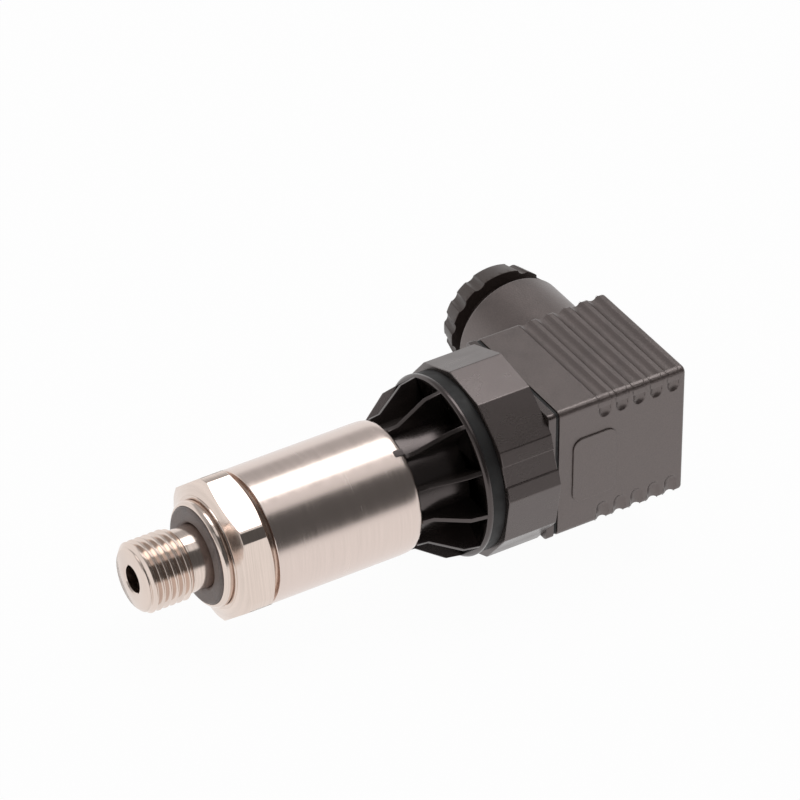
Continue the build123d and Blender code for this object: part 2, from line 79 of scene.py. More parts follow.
# The part lies with its stud down. Pieces are modelled on a level axis and laid down at the end.
port = next(mount for mount in frame["record"]["mounts"] if mount["name"] == "port_thread")
lean = math.degrees(math.atan2(-port["axis"][2], -port["axis"][0]))
# The plug sits turned about the axis, square to the gland.
plug_turn = -8.7


# Colours and nodes

def from_srgb(text):
    """The linear colour of an sRGB hex value."""
    parts = [int(text[i:i + 2], 16) / 255 for i in (0, 2, 4)]
    return [p / 12.92 if p <= 0.04045 else ((p + 0.055) / 1.055) ** 2.4 for p in parts]


def add_node(tree, kind, settings, links=None):
    """Adds a node, gives it its settings and links its inputs from other nodes' sockets."""
    node = tree.nodes.new(kind)
    for key, value in settings.items():
        if isinstance(key, str) and hasattr(node, key):
            setattr(node, key, value)
        else:
            node.inputs[key].default_value = value
    for key, socket in (links or {}).items():
        tree.links.new(socket, node.inputs[key])
    return node


def start_material(name, colour, metallic, roughness):
    """A new material with its shader, and the object's coordinates to lay patterns on."""
    material = bpy.data.materials.new(name)
    material.use_nodes = True
    tree = material.node_tree
    shader = tree.nodes["Principled BSDF"]
    shader.inputs["Base Color"].default_value = (*colour, 1)
    shader.inputs["Metallic"].default_value = metallic
    shader.inputs["Roughness"].default_value = roughness
    place = add_node(tree, "ShaderNodeTexCoord", {})
    level = add_node(tree, "ShaderNodeMapping", {"Rotation": (0, math.radians(lean), 0)},
                     {"Vector": place.outputs["Object"]})
    return material, tree, shader, level.outputs["Vector"]


def pattern(tree, place, lengths, detail=2.0):
    """Noise whose blotches have these lengths in millimetres along x, y and z."""
    laid = add_node(tree, "ShaderNodeMapping", {"Scale": [1 / (length * mm) for length in lengths]},
                    {"Vector": place})
    return add_node(tree, "ShaderNodeTexNoise", {"Scale": 1.0, "Detail": detail, "Roughness": 0.55},
                    {"Vector": laid.outputs["Vector"]}).outputs["Fac"]


def spread(tree, value, low, high):
    """The noise's usual span, 0.3 to 0.7, spread from low to high."""
    return add_node(tree, "ShaderNodeMapRange",
                    {"From Min": 0.3, "From Max": 0.7, "To Min": low, "To Max": high},
                    {"Value": value}).outputs["Result"]


def tinted(tree, shader, colour, value, dark, light):
    """Lets the base colour go from dark to light times itself, as the value goes from 0 to 1."""
    mixed = add_node(tree, "ShaderNodeMix",
                     {"data_type": "RGBA", 6: [*(c * dark for c in colour), 1],
                      7: [*(min(c * light, 1) for c in colour), 1]},
                     {0: value})
    tree.links.new(mixed.outputs[2], shader.inputs["Base Color"])


def rough(tree, shader, value, low, high):
    """Lets the roughness go from low to high over the noise's span."""
    tree.links.new(spread(tree, value, low, high), shader.inputs["Roughness"])


def raised(tree, shader, value, height, strength=1.0):
    """Raises the surface by the value, with the full height in millimetres."""
    bump = add_node(tree, "ShaderNodeBump", {"Strength": strength, "Distance": height * mm},
                    {"Height": value})
    tree.links.new(bump.outputs["Normal"], shader.inputs["Normal"])


# Materials

def brushed_stainless_tube(colour):
    """Stainless steel 1.4301 drawn tube, brushed around its axis with a grit 240 belt: soft long
    reflections along the tube, crossed by fine rings of lighter and darker steel."""
    material, tree, shader, place = start_material("brushed_stainless_tube", colour, 1.0, 0.26)
    # grit 240 cuts lines of about 0.06 mm, drawn 0.25 mm wide so that they show
    lines = pattern(tree, place, (0.25, 9.0, 9.0), 3.0)
    smears = pattern(tree, place, (2.2, 14.0, 14.0), 2.0)
    both = add_node(tree, "ShaderNodeMix", {"data_type": "FLOAT", 0: 0.35}, {2: lines, 3: smears})
    tinted(tree, shader, colour, spread(tree, both.outputs[0], 0.0, 1.0), 0.95, 1.03)
    rough(tree, shader, both.outputs[0], 0.19, 0.28)
    raised(tree, shader, lines, 0.002, 0.4)
    return material


def turned_stainless(colour):
    """Stainless steel 1.4404 turned on a lathe: bright and sharp, with the tool's feed rings."""
    material, tree, shader, place = start_material("turned_stainless", colour, 1.0, 0.17)
    # the tool's feed is 0.08 mm a turn, drawn as 0.3 mm
    rings = pattern(tree, place, (0.3, 16.0, 16.0), 2.0)
    stains = pattern(tree, place, (3.0, 3.0, 3.0), 2.0)
    tinted(tree, shader, colour, spread(tree, rings, 0.0, 1.0), 0.93, 1.05)
    rough(tree, shader, stains, 0.12, 0.22)
    raised(tree, shader, rings, 0.003, 0.4)
    return material


def moulded_polyamide(colour):
    """Black glass-filled polyamide, moulded in a polished and lightly eroded tool: satin, with a fine
    grain and faint flow marks where the melt ran."""
    material, tree, shader, place = start_material("moulded_polyamide", colour, 0.0, 0.32)
    shader.inputs["IOR"].default_value = 2.0
    shader.inputs["Specular Tint"].default_value = (1.0, 0.86, 0.84, 1)
    # the eroded grain is 0.1 mm, drawn as 0.28 mm
    grain = pattern(tree, place, (0.28, 0.28, 0.28), 2.0)
    flow = pattern(tree, place, (7.0, 4.0, 4.0), 2.0)
    tinted(tree, shader, colour, spread(tree, grain, 0.0, 1.0), 0.78, 1.22)
    rough(tree, shader, flow, 0.24, 0.33)
    raised(tree, shader, grain, 0.020, 0.5)
    return material


def ribbed_polyamide(colour):
    """Black glass-filled polyamide of the ribbed flange, with a duller skin and a darker colour than the
    sleeve's: painted shade over the whole flange, deep black in its pockets, with a thin light line along
    each rib."""
    material, tree, shader, place = start_material("ribbed_polyamide", colour, 0.0, 0.24)
    shader.inputs["IOR"].default_value = 1.8
    shader.inputs["Specular Tint"].default_value = (1.0, 0.86, 0.84, 1)
    # the eroded grain is 0.1 mm, drawn as 0.28 mm
    grain = pattern(tree, place, (0.28, 0.28, 0.28), 2.0)
    flow = pattern(tree, place, (7.0, 3.0, 3.0), 2.0)
    tinted(tree, shader, colour, spread(tree, flow, 0.0, 1.0), 0.82, 1.2)
    rough(tree, shader, flow, 0.20, 0.28)
    raised(tree, shader, grain, 0.012, 0.35)
    return material


def gland_polyamide(colour):
    """Black polyamide of the gland's head, moulded in a plain tool: duller than the flange, with soft
    highlights on its lobes and a dark brown face."""
    material, tree, shader, place = start_material("gland_polyamide", colour, 0.0, 0.36)
    shader.inputs["IOR"].default_value = 1.5
    shader.inputs["Specular Tint"].default_value = (1.0, 0.88, 0.85, 1)
    # the grain is 0.1 mm, drawn as 0.26 mm
    grain = pattern(tree, place, (0.26, 0.26, 0.26), 2.0)
    cloud = pattern(tree, place, (3.0, 3.0, 3.0), 2.0)
    tinted(tree, shader, colour, spread(tree, grain, 0.0, 1.0), 0.8, 1.2)
    rough(tree, shader, cloud, 0.32, 0.42)
    raised(tree, shader, grain, 0.015, 0.4)
    return material


def textured_polyamide(colour):
    """Dark grey polyamide of the plug, moulded in a tool with an eroded texture: matt, with an even
    fine grain that breaks up the light."""
    material, tree, shader, place = start_material("textured_polyamide", colour, 0.0, 0.36)
    shader.inputs["IOR"].default_value = 2.1
    shader.inputs["Specular Tint"].default_value = (1.0, 0.88, 0.85, 1)
    # the texture's grain is 0.15 mm, drawn as 0.32 mm
    grain = pattern(tree, place, (0.32, 0.32, 0.32), 3.0)
    cloud = pattern(tree, place, (5.0, 5.0, 5.0), 3.0)
    both = add_node(tree, "ShaderNodeMix", {"data_type": "FLOAT", 0: 0.4}, {2: grain, 3: cloud})
    tinted(tree, shader, colour, spread(tree, both.outputs[0], 0.0, 1.0), 0.62, 1.38)
    rough(tree, shader, both.outputs[0], 0.28, 0.44)
    raised(tree, shader, grain, 0.05, 0.8)
    return material


def moulded_rubber(colour):
    """Nitrile rubber, pressed in a mould: dull, slightly dusty, with a very fine grain."""
    material, tree, shader, place = start_material("moulded_rubber", colour, 0.0, 0.62)
    shader.inputs["IOR"].default_value = 1.52
    # carbon black gives a grain of 0.05 mm, drawn as 0.3 mm
    grain = pattern(tree, place, (0.3, 0.3, 0.3), 2.0)
    dust = pattern(tree, place, (2.5, 2.5, 2.5), 3.0)
    tinted(tree, shader, colour, spread(tree, dust, 0.0, 1.0), 0.80, 1.25)
    rough(tree, shader, dust, 0.55, 0.72)
    raised(tree, shader, grain, 0.010, 0.4)
    return material


def grey_fluoro_rubber(colour):
    """Fluorocarbon rubber of the port's seal, pressed in a smooth mould: dark grey with a soft sheen."""
    material, tree, shader, place = start_material("grey_fluoro_rubber", colour, 0.0, 0.48)
    shader.inputs["IOR"].default_value = 1.45
    # mineral filler gives specks of 0.05 mm, drawn as 0.25 mm
    specks = pattern(tree, place, (0.25, 0.25, 0.25), 3.0)
    cloud = pattern(tree, place, (2.0, 2.0, 2.0), 2.0)
    both = add_node(tree, "ShaderNodeMix", {"data_type": "FLOAT", 0: 0.5}, {2: specks, 3: cloud})
    tinted(tree, shader, colour, spread(tree, both.outputs[0], 0.0, 1.0), 0.62, 1.3)
    rough(tree, shader, cloud, 0.36, 0.52)
    raised(tree, shader, specks, 0.014, 0.5)
    return material


def ground_ceramic(colour):
    """Alumina ceramic, sintered and ground: chalk white, close to matt, with faint speckles."""
    material, tree, shader, place = start_material("ground_ceramic", colour, 0.0, 0.5)
    shader.inputs["IOR"].default_value = 1.76
    # sintered grains of 0.02 mm, drawn as 0.2 mm
    specks = pattern(tree, place, (0.2, 0.2, 0.2), 3.0)
    tinted(tree, shader, colour, spread(tree, specks, 0.0, 1.0), 0.93, 1.02)
    rough(tree, shader, specks, 0.44, 0.58)
    return material


def machined_brass(colour):
    """Free-cutting brass from an automatic lathe: warm yellow with soft feed rings."""
    material, tree, shader, place = start_material("machined_brass", colour, 1.0, 0.24)
    rings = pattern(tree, place, (0.25, 5.0, 5.0), 2.0)
    tinted(tree, shader, colour, spread(tree, rings, 0.0, 1.0), 0.90, 1.05)
    rough(tree, shader, rings, 0.19, 0.31)
    return material


def tinned_copper(colour):
    """Copper alloy strip with hot-dipped tin: pale, a little cloudy, with rolled streaks along x."""
    material, tree, shader, place = start_material("tinned_copper", colour, 1.0, 0.3)
    streaks = pattern(tree, place, (6.0, 0.3, 0.3), 2.0)
    tinted(tree, shader, colour, spread(tree, streaks, 0.0, 1.0), 0.90, 1.04)
    rough(tree, shader, streaks, 0.24, 0.38)
    return material


def zinc_plated_steel(colour):
    """Cold-headed steel screws with clear-passivated zinc: cool silver with cloudy patches."""
    material, tree, shader, place = start_material("zinc_plated_steel", colour, 1.0, 0.3)
    clouds = pattern(tree, place, (1.2, 1.2, 1.2), 3.0)
    tinted(tree, shader, colour, spread(tree, clouds, 0.0, 1.0), 0.86, 1.05)
    rough(tree, shader, clouds, 0.22, 0.38)
    return material


def solder_mask(colour):
    """Glass-epoxy board under green solder mask: glossy, with the weave of the cloth just showing."""
    material, tree, shader, place = start_material("solder_mask", colour, 0.0, 0.3)
    # the cloth's threads lie 0.5 mm apart
    across = add_node(tree, "ShaderNodeTexWave", {"bands_direction": "X", "Scale": 314.0}, {"Vector": place})
    along = add_node(tree, "ShaderNodeTexWave", {"bands_direction": "Z", "Scale": 314.0}, {"Vector": place})
    weave = add_node(tree, "ShaderNodeMath", {"operation": "MULTIPLY"},
                     {0: across.outputs["Fac"], 1: along.outputs["Fac"]})
    tinted(tree, shader, colour, weave.outputs[0], 0.85, 1.2)
    raised(tree, shader, weave.outputs[0], 0.01, 0.3)
    return material


def epoxy_package(colour):
    """Moulded epoxy of the electronic parts: dark and matt, with a sand-like texture."""
    material, tree, shader, place = start_material("epoxy_package", colour, 0.0, 0.55)
    sand = pattern(tree, place, (0.2, 0.2, 0.2), 2.0)
    tinted(tree, shader, colour, spread(tree, sand, 0.0, 1.0), 0.8, 1.25)
    raised(tree, shader, sand, 0.012, 0.4)
    return material


def wire_insulation(colour):
    """Extruded wire insulation: smooth, slightly glossy, with faint draw lines along the wire."""
    material, tree, shader, place = start_material("wire_insulation", colour, 0.0, 0.35)
    drawn = pattern(tree, place, (5.0, 0.4, 0.4), 2.0)
    tinted(tree, shader, colour, spread(tree, drawn, 0.0, 1.0), 0.88, 1.1)
    rough(tree, shader, drawn, 0.3, 0.42)
    return material


finishes = {
    "brushed_stainless_tube": (brushed_stainless_tube, "tube_steel", ["body_tube"]),
    "turned_stainless": (turned_stainless, "turned_steel", ["process_fitting", "clamp_ring"]),
    "moulded_polyamide": (moulded_polyamide, "sleeve_black",
                          ["faceted_sleeve", "connector_base", "terminal_insert"]),
    "ribbed_polyamide": (ribbed_polyamide, "rib_black", ["ribbed_flange", "gland_washer"]),
    "gland_polyamide": (gland_polyamide, "gland_black", ["gland_screw"]),
    "textured_polyamide": (textured_polyamide, "plug_grey", ["plug_cover"]),
    "moulded_rubber": (moulded_rubber, "rubber_black",
                       ["cell_oring", "tube_oring", "flange_seal", "base_oring",
                        "plug_gasket", "screw_washer", "gland_grommet"]),
    "grey_fluoro_rubber": (grey_fluoro_rubber, "rubber_grey", ["port_seal"]),
    "ground_ceramic": (ground_ceramic, "ceramic_white", ["sensor_cell"]),
    "machined_brass": (machined_brass, "brass", ["base_insert", "contact_sockets", "earth_socket"]),
    "tinned_copper": (tinned_copper, "tin", ["sensor_leads", "contact_blades", "earth_blade"]),
    "zinc_plated_steel": (zinc_plated_steel, "zinc", ["fixing_screw", "terminal_screws"]),
    "solder_mask": (solder_mask, "board_green", ["circuit_board"]),
    "epoxy_package": (epoxy_package, "package_black", ["board_chips", "board_capacitor"]),
    "wire_insulation": (wire_insulation, "wire_red", ["output_wires"]),
}


def finish(name):
    """The material of that name, made when it is first asked for."""
    if name not in bpy.data.materials:
        make, colour_name, _ = finishes[name]
        make(getattr(bpy.context.scene.transmitter_colours, colour_name))
    return bpy.data.materials[name]


# Work by hand

def deselect():
    """Nothing stays selected or in edit mode."""
    if bpy.context.object and bpy.context.object.mode != "OBJECT":
        bpy.ops.object.mode_set(mode="OBJECT")
    bpy.ops.object.select_all(action="DESELECT")


def pick(piece):
    """Only this piece is selected, and it is the active one."""
    deselect()
    piece.select_set(True)
    bpy.context.view_layer.objects.active = piece


def edit(piece, kind="VERT"):
    """Opens the piece in edit mode with nothing of it selected."""
    pick(piece)
    bpy.ops.object.mode_set(mode="EDIT")
    bpy.ops.mesh.select_mode(type=kind)
    bpy.ops.mesh.select_all(action="DESELECT")


def close_edit():
    """Leaves edit mode."""
    bpy.ops.object.mode_set(mode="OBJECT")


def turn_mesh(piece, axis, degrees):
    """Turns the whole mesh about an axis through the origin. With no window the operator turns
    the other way, so the angle is given with its sign changed."""
    edit(piece)
    bpy.ops.mesh.select_all(action="SELECT")
    bpy.ops.transform.rotate(value=-math.radians(degrees), orient_axis=axis, center_override=(0, 0, 0))
    close_edit()


def level_box(node):
    """The lowest and highest corner of a solid on the level axis, in millimetres."""
    turned = Matrix.Rotation(math.radians(lean), 3, "Y")
    points = [turned @ v.co / mm for v in frame["nodes"][node].data.vertices]
    return [Vector([limit(p[k] for p in points) for k in range(3)]) for limit in (min, max)]


def add_modifier(piece, kind, settings):
    """Adds a modifier with its settings and applies it."""
    pick(piece)
    bpy.ops.object.modifier_add(type=kind)
    modifier = piece.modifiers[-1]
    for key, value in settings.items():
        setattr(modifier, key, value)
    bpy.ops.object.modifier_apply(modifier=modifier.name)


def draw_line(name, points, closed=False):
    """A line of corner points, pulled out one after the other from the first one."""
    deselect()
    bpy.ops.mesh.primitive_plane_add(size=1 * mm, location=(0, 0, 0))
    piece = bpy.context.object
    piece.name = piece.data.name = name
    bpy.ops.object.mode_set(mode="EDIT")
    bpy.ops.mesh.select_all(action="SELECT")
    bpy.ops.mesh.merge(type="CENTER")
    bpy.ops.transform.translate(value=points[0])
    for last, point in zip(points, points[1:]):
        step = [b - a for a, b in zip(last, point)]
        bpy.ops.mesh.extrude_vertices_move(TRANSFORM_OT_translate={"value": step})
    if closed:
        bpy.ops.object.mode_set(mode="OBJECT")
        ends = piece.data.vertices
        ends[0].select = ends[len(ends) - 1].select = True
        bpy.ops.object.mode_set(mode="EDIT")
        bpy.ops.mesh.edge_face_add()
    close_edit()
    return piece


def turn_round(name, points, steps=128):
    """A closed outline of x and radius in millimetres, turned round the x axis into a solid."""
    piece = draw_line(name, [(x * mm, r * mm, 0) for x, r in points], closed=True)
    add_modifier(piece, "SCREW", {"axis": "X", "steps": steps, "render_steps": steps,
                                  "use_merge_vertices": True, "merge_threshold": 1e-6})
    face_out(piece)
    return piece


def face_out(piece):
    """Merges doubled points and turns every face outwards."""
    edit(piece)
    bpy.ops.mesh.select_all(action="SELECT")
    bpy.ops.mesh.remove_doubles(threshold=1e-6)
    bpy.ops.mesh.normals_make_consistent(inside=False)
    close_edit()


def cut(piece, tool, operation):
    """Cuts, joins or trims the piece with the tool, which is used up."""
    add_modifier(piece, "BOOLEAN", {"operation": operation, "object": tool, "solver": "EXACT"})
    bpy.data.objects.remove(tool)


def pick_outward_edges(piece, angle):
    """Selects the edges that stand outwards and are sharper than the angle."""
    mesh = piece.data
    beside = {}
    for face in mesh.polygons:
        ring = list(face.vertices)
        for pair in zip(ring, ring[1:] + ring[:1]):
            beside[pair] = face.normal
    for edge in mesh.edges:
        start, end = edge.vertices
        first, second = beside.get((start, end)), beside.get((end, start))
        if first is None or second is None:
            continue
        along = mesh.vertices[end].co - mesh.vertices[start].co
        edge.select = first.angle(second, 0) > math.radians(angle) and first.cross(second).dot(along) > 0


def soften(piece, width, segments=2, angle=32):
    """Rounds every outward edge sharper than the angle, and smooths the rest."""
    edit(piece, "EDGE")
    close_edit()
    pick_outward_edges(piece, angle)
    bpy.ops.object.mode_set(mode="EDIT")
    bpy.ops.mesh.bevel(offset=width * mm, segments=segments, affect="EDGES", miter_outer="ARC")
    close_edit()
    bpy.ops.object.shade_smooth_by_angle(angle=math.radians(angle))
    add_modifier(piece, "WEIGHTED_NORMAL", {"mode": "FACE_AREA", "weight": 80, "keep_sharp": True})


def lift_copy(node, name):
    """A copy of a solid's mesh, merged and cleared of flat seams, ready to be worked on."""
    deselect()
    source = frame["nodes"][node]
    source.select_set(True)
    bpy.context.view_layer.objects.active = source
    bpy.ops.object.duplicate()
    piece = bpy.context.object
    bpy.ops.object.parent_clear(type="CLEAR_KEEP_TRANSFORM")
    for key in list(piece.keys()):
        del piece[key]
    piece.name = piece.data.name = name
    piece.data.materials.clear()
    edit(piece)
    bpy.ops.mesh.select_all(action="SELECT")
    bpy.ops.mesh.customdata_custom_splitnormals_clear()
    bpy.ops.mesh.remove_doubles(threshold=1e-6)
    bpy.ops.mesh.dissolve_limited(angle_limit=math.radians(0.4))
    close_edit()
    turn_mesh(piece, "Y", lean)
    return piece


def keep_side(piece, x, keep_high):
    """Cuts the piece across at x millimetres, closes the cut and keeps one side."""
    edit(piece)
    bpy.ops.mesh.select_all(action="SELECT")
    bpy.ops.mesh.bisect(plane_co=(x * mm, 0, 0), plane_no=(1, 0, 0), use_fill=True, threshold=1e-7,
                        clear_inner=keep_high, clear_outer=not keep_high)
    close_edit()


def put_in(piece, material, body, *nodes):
    """Lays the piece down, gives it its finish, and lets it ride on its body and stand for its solids."""
    if not piece.data.polygons:
        raise RuntimeError(piece.name + " came out empty")
    turn_mesh(piece, "Y", -lean)
    piece.data.materials.clear()
    piece.data.materials.append(finish(material))
    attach(piece, body)
    if nodes:
        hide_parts(*nodes)


# Sizes and colours

def colour_property(name, description, text):
    """A colour that the user can change, with its sRGB value as the default."""
    return bpy.props.FloatVectorProperty(name=name, description=description, subtype="COLOR", size=3,
                                         min=0, max=1, default=from_srgb(text))


def length_property(name, description, value):
    """A length in millimetres, shown in the scene's units."""
    return bpy.props.FloatProperty(name=name, description=description, subtype="DISTANCE",
                                   unit="LENGTH", min=0, precision=5, default=value * mm)


class TransmitterColours(bpy.types.PropertyGroup):
    """The colours of the transmitter's materials"""
    tube_steel: colour_property("Tube steel", "Colour of the brushed tube", "DDCDC5")
    turned_steel: colour_property("Turned steel", "Colour of the threaded fitting", "DECEC4")
    sleeve_black: colour_property("Sleeve black", "Colour of the sleeve and the socket", "2C2623")
    # darker than the sleeve's black: painted shade for the flange's deep pockets
    rib_black: colour_property("Rib black", "Colour of the ribbed flange", "1F1B19")
    gland_black: colour_property("Gland black", "Colour of the gland's head", "443B37")
    plug_grey: colour_property("Plug grey", "Colour of the angle plug", "483E3B")
    rubber_black: colour_property("Rubber black", "Colour of the seals", "191717")
    rubber_grey: colour_property("Rubber grey", "Colour of the port's seal", "867A76")
    ceramic_white: colour_property("Ceramic white", "Colour of the sensor cell", "EDEAE2")
    brass: colour_property("Brass", "Colour of the sockets and the insert", "D9B36A")
    tin: colour_property("Tin", "Colour of the blades and the leads", "D6D3CC")
    zinc: colour_property("Zinc", "Colour of the screws", "CBCBC9")
    board_green: colour_property("Board green", "Colour of the circuit board", "1F6B3A")
    package_black: colour_property("Package black", "Colour of the electronic parts", "2A2A2C")
    wire_red: colour_property("Wire red", "Colour of the wires", "A6261C")


class TransmitterSizes(bpy.types.PropertyGroup):
    """The sizes of what is modelled here, over and above the solids"""
    thread_radius: length_property("Thread radius", "Radius over the crests of the stud", 6.5785)
    thread_pitch: length_property("Thread pitch", "Distance from crest to crest", 1.337)
    thread_depth: length_property("Thread depth", "Height of a crest over its root", 0.856)
    thread_round: length_property("Thread rounding", "Radius of the crests and roots", 0.1836)
    steel_edge: length_property("Steel edge", "Width of the broken edges on the fitting", 0.12)
    tube_roll: length_property("Tube roll", "How far the tube's end is rolled in", 0.22)
    plastic_edge: length_property("Moulded edge", "Width of the rounded edges on mouldings", 0.16)
    plug_half: length_property("Plug half width", "Half the width of the square plug", 13.52)
    edge_start: length_property("Edge start", "Where the plain upper edge of the plug begins", 73.0)
    edge_end: length_property("Edge end", "Where the plain upper edge of the plug ends", 91.2)
    edge_depth: length_property("Edge depth", "How wide the plain upper edge is", 1.3)
    edge_round: length_property("Edge round", "Radius of the plug's long edges", 1.2)
    edge_height: length_property("Edge height", "How far the plain upper edge comes down", 2.0)
    seal_edge: length_property("Seal edge", "Width of the rounded lips of the seals", 0.1)
    gland_edge: length_property("Gland edge", "Width of the rounded edges on the gland's head", 0.12)


class StageSettings(bpy.types.PropertyGroup):
    """The floor and the lamps"""
    floor_colour: colour_property("Floor", "Colour of the floor", "F6F6F6")
    softbox_power: bpy.props.FloatProperty(name="Softbox", description="Power of the lamp overhead",
                                           subtype="POWER", unit="POWER", default=5.2)
    veil_power: bpy.props.FloatProperty(name="Veil", description="Power of the dim lamp beside it",
                                        subtype="POWER", unit="POWER", default=1.0)
    fill_power: bpy.props.FloatProperty(name="Fill", description="Power of the lamp at the front",
                                        subtype="POWER", unit="POWER", default=0.7)


# Pieces

class ModelFitting(bpy.types.Operator):
    """Models the threaded stud, and the collar and hexagon with their edges broken"""
    bl_idname = "transmitter.model_fitting"
    bl_label = "Process fitting"

    def execute(self, context):
        sizes = context.scene.transmitter_sizes
        radius, pitch = sizes.thread_radius, sizes.thread_pitch
        depth, curve = sizes.thread_depth, sizes.thread_round
        # the flanks stand 62.5 degrees from the axis's direction, so each rounding turns through that angle
        flank = math.radians(62.5)
        arc = [flank * k / 3 for k in range(-3, 4)]
        root = [(-pitch / 2 + curve * math.sin(a), radius - depth + curve - curve * math.cos(a))
                for a in arc[3:]]
        crest = [(curve * math.sin(a), radius - curve + curve * math.cos(a)) for a in arc]
        tooth = root + crest + [(-x, r) for x, r in reversed(root)]
        # the thread is wound longer than the stud at both ends, then cut back
        first, turns, steps = -15.0 * mm, 12, 96
        cut_start, cut_end, shoulder = -13.4, -3.4, -3.6
        stud = draw_line("fitting_stud", [(x + first, r, 0) for x, r in tooth])
        add_modifier(stud, "SCREW", {"axis": "X", "steps": steps, "render_steps": steps,
                                     "iterations": turns, "screw_offset": pitch,
                                     "use_merge_vertices": True, "merge_threshold": 2e-6})
        edit(stud)
        bpy.ops.mesh.select_all(action="SELECT")
        bpy.ops.mesh.remove_doubles(threshold=2e-6)
        close_edit()
        keep_side(stud, cut_start, True)
        keep_side(stud, cut_end, False)
        face_out(stud)
        # end face with its broken edge, chamfer, crests, runout, neck and bore
        outline = [(-13.0, 2.75), (-13.0, 5.4), (-12.9, 5.55), (-12.0, 6.5785), (-4.68, 6.5785),
                   (-3.9, 5.8), (shoulder, 5.8), (shoulder, 2.5), (-12.75, 2.5)]
        cut(stud, turn_round("stud_envelope", outline), "INTERSECT")
        pick(stud)
        bpy.ops.object.shade_smooth_by_angle(angle=math.radians(38))
        put_in(stud, "turned_stainless", "housing")

        collar = lift_copy("process_fitting", "fitting_collar")
        keep_side(collar, shoulder, True)
        soften(collar, sizes.steel_edge / mm)
        put_in(collar, "turned_stainless", "housing", "process_fitting")
        return {"FINISHED"}


class ModelTube(bpy.types.Operator):
    """Models the brushed tube with its end rolled in and the small notch"""
    bl_idname = "transmitter.model_tube"
    bl_label = "Tube"

    def execute(self, context):
        low, high = level_box("body_tube")
        outer, start, end = high.z, low.x, high.x
        wall, roll = 0.85, context.scene.transmitter_sizes.tube_roll / mm
        edge, steps = 0.12, 160
        # broken edge at the hexagon, plain tube, the roll inwards over the last 2.6 mm, and the bore
        tube = turn_round("tube_shell", [
            (start, outer - edge), (start + edge, outer), (end - 2.6, outer),
            (end - 1.6, outer - roll * 0.12), (end - 0.9, outer - roll * 0.4), (end - 0.35, outer - roll),
            (end - 0.1, outer - roll - 0.16), (end, outer - roll - 0.38), (end - 0.1, outer - wall - 0.02),
            (end - 0.3, outer - wall), (start, outer - wall)], steps)
        notch_size, notch_round, notch_turn = (3.8, 1.4, 3), 0.45, 18
        bpy.ops.mesh.primitive_cube_add(size=1, location=(0, 0, 0))
        notch = context.object
        bpy.ops.object.mode_set(mode="EDIT")
        bpy.ops.mesh.select_all(action="SELECT")
        bpy.ops.transform.resize(value=[length * mm for length in notch_size])
        bpy.ops.mesh.select_mode(type="EDGE")
        bpy.ops.mesh.select_all(action="DESELECT")
        close_edit()
        for edge in notch.data.edges:
            a, b = (notch.data.vertices[v].co for v in edge.vertices)
            edge.select = a.x < 0 and b.x < 0 and abs(a.z - b.z) > 1 * mm
        bpy.ops.object.mode_set(mode="EDIT")
        bpy.ops.mesh.bevel(offset=notch_round * mm, segments=5)
        bpy.ops.mesh.select_all(action="SELECT")
        bpy.ops.transform.translate(value=(end * mm, 0, outer * mm))
        close_edit()
        turn_mesh(notch, "X", notch_turn)
        cut(tube, notch, "DIFFERENCE")
        pick(tube)
        bpy.ops.object.shade_smooth_by_angle(angle=math.radians(30))
        put_in(tube, "brushed_stainless_tube", "housing", "body_tube")
        return {"FINISHED"}


class SoftenMouldings(bpy.types.Operator):
    """Rounds the edges of the flange, the sleeve and the socket's base as a mould does"""
    bl_idname = "transmitter.soften_mouldings"
    bl_label = "Moulded parts"

    def execute(self, context):
        edge = context.scene.transmitter_sizes.plastic_edge / mm
        # the ribs are thin, so their edges are finer; the facets meet at 30 degrees and stay sharp
        rib_edge, plain_angle, facet_angle = edge * 0.75, 32, 20
        for node, name, material, width, angle in (
                ("ribbed_flange", "flange_moulding", "ribbed_polyamide", rib_edge, plain_angle),
                ("faceted_sleeve", "sleeve_moulding", "moulded_polyamide", edge, facet_angle),
                ("connector_base", "base_moulding", "moulded_polyamide", edge, plain_angle)):
            piece = lift_copy(node, name)
            soften(piece, width, angle=angle)
            put_in(piece, material, "housing", node)
        return {"FINISHED"}


class ModelPlug(bpy.types.Operator):
    """Restores the plug's plain upper edge, and rounds the edges of the plug and the gland"""
    bl_idname = "transmitter.model_plug"
    bl_label = "Plug and gland"

    def execute(self, context):
        sizes = context.scene.transmitter_sizes
        cover = lift_copy("plug_cover", "plug_moulding")
        # the edge lies a hair inside the plug's faces, so that the two join cleanly
        hair = 0.01
        half, start, end = sizes.plug_half / mm - hair, sizes.edge_start / mm, sizes.edge_end / mm
        depth, curve = sizes.edge_depth / mm, sizes.edge_round / mm
        height = sizes.edge_height / mm
        bpy.ops.mesh.primitive_cube_add(size=1)
        rail = context.object
        bpy.ops.object.mode_set(mode="EDIT")
        bpy.ops.mesh.select_all(action="SELECT")
        bpy.ops.transform.resize(value=((end - start) * mm, depth * mm, height * mm))
        bpy.ops.transform.translate(value=((start + end) / 2 * mm, (depth / 2 - half) * mm,
                                           (half - height / 2) * mm))
        bpy.ops.mesh.select_all(action="DESELECT")
        bpy.ops.mesh.select_mode(type="EDGE")
        close_edit()
        for line in rail.data.edges:
            ends = [rail.data.vertices[v].co / mm for v in line.vertices]
            line.select = all(abs(e.y + half) < hair and abs(e.z - half) < hair for e in ends)
        bpy.ops.object.mode_set(mode="EDIT")
        bpy.ops.mesh.bevel(offset=curve * mm, segments=6, affect="EDGES")
        close_edit()
        turn_mesh(rail, "X", plug_turn)
        cut(cover, rail, "UNION")
        soften(cover, sizes.plastic_edge / mm)
        put_in(cover, "textured_polyamide", "plug", "plug_cover")
        gland = lift_copy("gland_screw", "gland_moulding")
        soften(gland, sizes.gland_edge / mm)
        put_in(gland, "gland_polyamide", "gland", "gland_screw")
        return {"FINISHED"}


